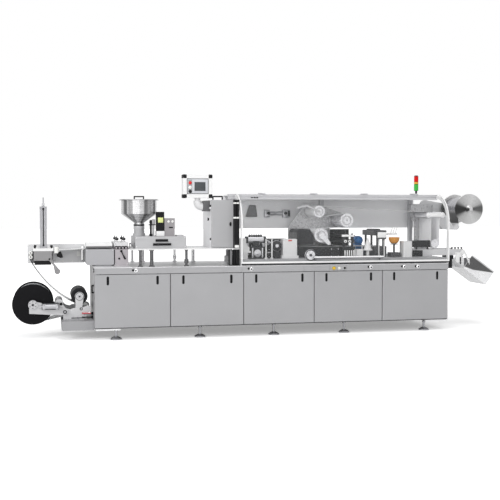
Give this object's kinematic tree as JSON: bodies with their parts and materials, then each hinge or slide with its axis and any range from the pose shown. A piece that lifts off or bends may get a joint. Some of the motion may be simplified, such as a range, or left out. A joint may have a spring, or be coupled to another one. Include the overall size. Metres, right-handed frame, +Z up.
{
  "type": "blister packing machine",
  "caption": "Long floor-standing blister packing machine with film unwinder, heating and forming stations, tablet hopper, operator panel, clear lifting guard, foil reel and outfeed chute.",
  "frame": {"origin": "middle of the machine's footprint, on the floor under its levelling feet", "axes": "+X along the machine from the film unwinder to the chute, +Y from the operator's side to the back, +Z up"},
  "size_m": [5.466, 1.118, 1.741],
  "materials": {
    "cabinet_paint": "satin grey paint on folded sheet",
    "frame_steel": "grey painted steel tube",
    "deck_steel": "brushed stainless plate",
    "black_plastic": "black moulded plastic",
    "black_paint": "black satin paint",
    "white_paint": "white satin paint",
    "white_plastic": "white moulded plastic",
    "cast_aluminium": "bead blasted aluminium",
    "beam_aluminium": "natural anodised extrusion",
    "polished_steel": "polished stainless sheet",
    "machined_steel": "turned and ground steel",
    "dark_steel": "dark grey painted machine parts",
    "roller_rubber": "black rubber cover",
    "clear_film": "clear forming film",
    "lidding_foil": "matt aluminium foil",
    "hood_acrylic": "clear acrylic sheet",
    "guard_grey": "grey painted sheet",
    "motor_blue": "blue painted motor housing",
    "lamp_plastic": "coloured lamp lenses"
  },
  "bodies": {
    "machine": {"base_pan": "cabinet_paint", "frame_posts": "frame_steel", "cabinet_walls": "cabinet_paint", "deck_plate": "deck_steel", "front_panels": "cabinet_paint", "rear_panels": "cabinet_paint", "panel_grips": "black_plastic", "levelling_feet": "machined_steel", "unwind_beam": "cabinet_paint", "unwind_bracket": "cast_aluminium", "unwind_arms": "white_paint", "brake_cylinder": "cast_aluminium", "film_web": "clear_film", "infeed_plate": "guard_grey", "infeed_rollers": "white_plastic", "splice_press": "cast_aluminium", "splice_cap": "white_paint", "splice_cylinder": "beam_aluminium", "heating_station": "cabinet_paint", "heating_cover": "white_paint", "forming_unit": "cast_aluminium", "feeder_plate": "white_paint", "feeder_posts": "machined_steel", "feeder_housing": "deck_steel", "hopper": "polished_steel", "hopper_lid": "polished_steel", "feeder_display": "black_plastic", "feeder_controls": "cabinet_paint", "control_cabinet": "cabinet_paint", "hmi_arm": "white_paint", "cable_column": "black_plastic", "station_bed": "guard_grey", "end_arches": "white_paint", "top_beam": "beam_aluminium", "rear_posts": "beam_aluminium", "rear_cover": "guard_grey", "index_station": "dark_steel", "foil_rollers": "machined_steel", "foil_web": "lidding_foil", "sealing_press": "dark_steel", "drive_motors": "motor_blue", "punch_station": "dark_steel", "bed_fittings": "white_paint", "outfeed_bed": "cast_aluminium", "outfeed_motor": "black_paint", "outfeed_chute": "polished_steel", "chute_straps": "white_paint", "reel_bracket": "cast_aluminium", "tower_light": "lamp_plastic"},
    "film_reel": {"film_roll": "clear_film", "reel_flanges": "black_plastic"},
    "tension_roller": {"tension_roller": "roller_rubber"},
    "cabinet_door": {"cabinet_door": "cabinet_paint"},
    "operator_panel": {"hmi_box": "white_paint"},
    "guard_hood": {"hood_sheet": "hood_acrylic", "hood_trim": "white_paint", "hood_hinges": "machined_steel", "hood_handle": "machined_steel"},
    "foil_reel": {"foil_roll": "lidding_foil", "foil_flanges": "machined_steel"}
  },
  "joints": [
    {"name": "film_reel_spin", "type": "hinge", "parent": "machine", "child": "film_reel", "pos_m": [-2.52105, 0.034, 0.357], "axis": [0, 1, 0], "continuous": true},
    {"name": "tension_roller_spin", "type": "hinge", "parent": "machine", "child": "tension_roller", "pos_m": [-2.04505, 0.034, 0.433], "axis": [0, 1, 0], "continuous": true},
    {"name": "cabinet_door_swing", "type": "hinge", "parent": "machine", "child": "cabinet_door", "pos_m": [-0.64805, -0.199, 1.1905], "axis": [0, 0, -1], "range_deg": [0, 110]},
    {"name": "operator_panel_swivel", "type": "hinge", "parent": "machine", "child": "operator_panel", "pos_m": [-0.77405, -0.101, 1.472], "axis": [0, 0, 1], "range_deg": [-75, 75]},
    {"name": "guard_hood_lift", "type": "hinge", "parent": "machine", "child": "guard_hood", "pos_m": [0.81745, -0.169, 1.522], "axis": [-1, 0, 0], "range_deg": [0, 80]},
    {"name": "foil_reel_spin", "type": "hinge", "parent": "machine", "child": "foil_reel", "pos_m": [2.40795, 0.034, 1.354], "axis": [0, 1, 0], "continuous": true}
  ]
}
